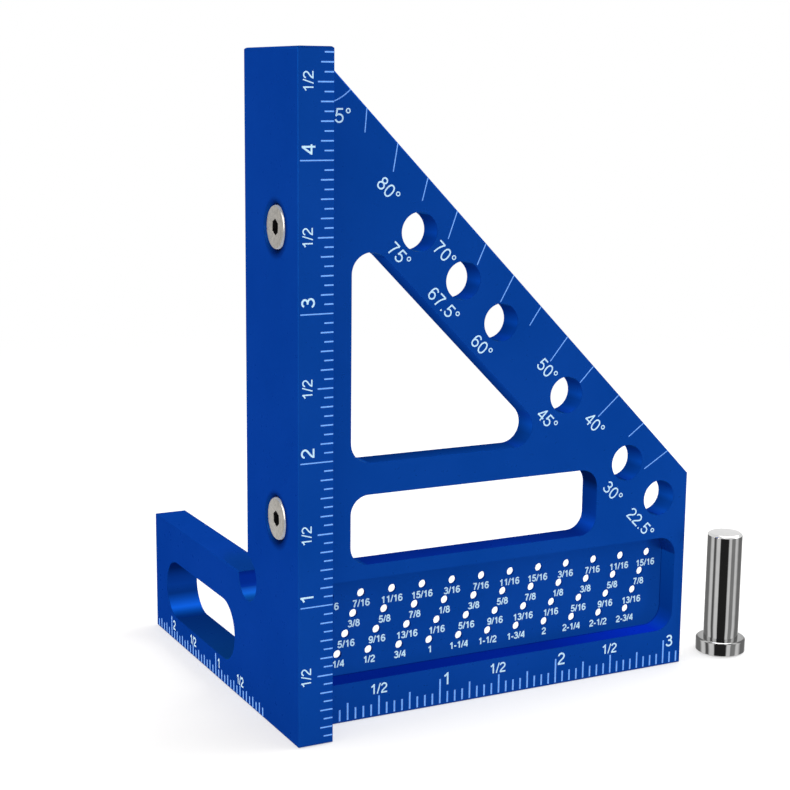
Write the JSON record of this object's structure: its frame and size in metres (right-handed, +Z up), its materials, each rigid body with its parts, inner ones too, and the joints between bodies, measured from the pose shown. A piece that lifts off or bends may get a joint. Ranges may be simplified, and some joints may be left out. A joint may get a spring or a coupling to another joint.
{
  "type": "multi-angle marking square",
  "caption": "Right-angle marking square: a fence plate with a foot, a windowed triangular blade with angle bores, pencil holes and scales, and a loose headed pin.",
  "frame": {"origin": "The corner that all three scales count from: the fence plate's inner face, its front edge and the base meet there.", "axes": "+X along the blade's lower edge, away from the fence plate; +Y back from the arm's front edge, along the foot; +Z up the arm."},
  "size_m": [0.1041, 0.075, 0.12],
  "materials": {
    "anodised_plate": "satin blue anodised",
    "anodised_blade": "satin blue anodised",
    "screw_steel": "bright, fine turned",
    "polished_pin": "polished"
  },
  "bodies": {
    "square": {"fence_plate": "anodised_plate", "blade": "anodised_blade", "upper_screw": "screw_steel", "lower_screw": "screw_steel"},
    "pin": {"angle_pin": "polished_pin"}
  },
  "joints": [
    {"name": "pin_lift", "type": "slide", "parent": "square", "child": "pin", "axis": [0, 0, 1], "range_m": [0, 0.06]}
  ]
}
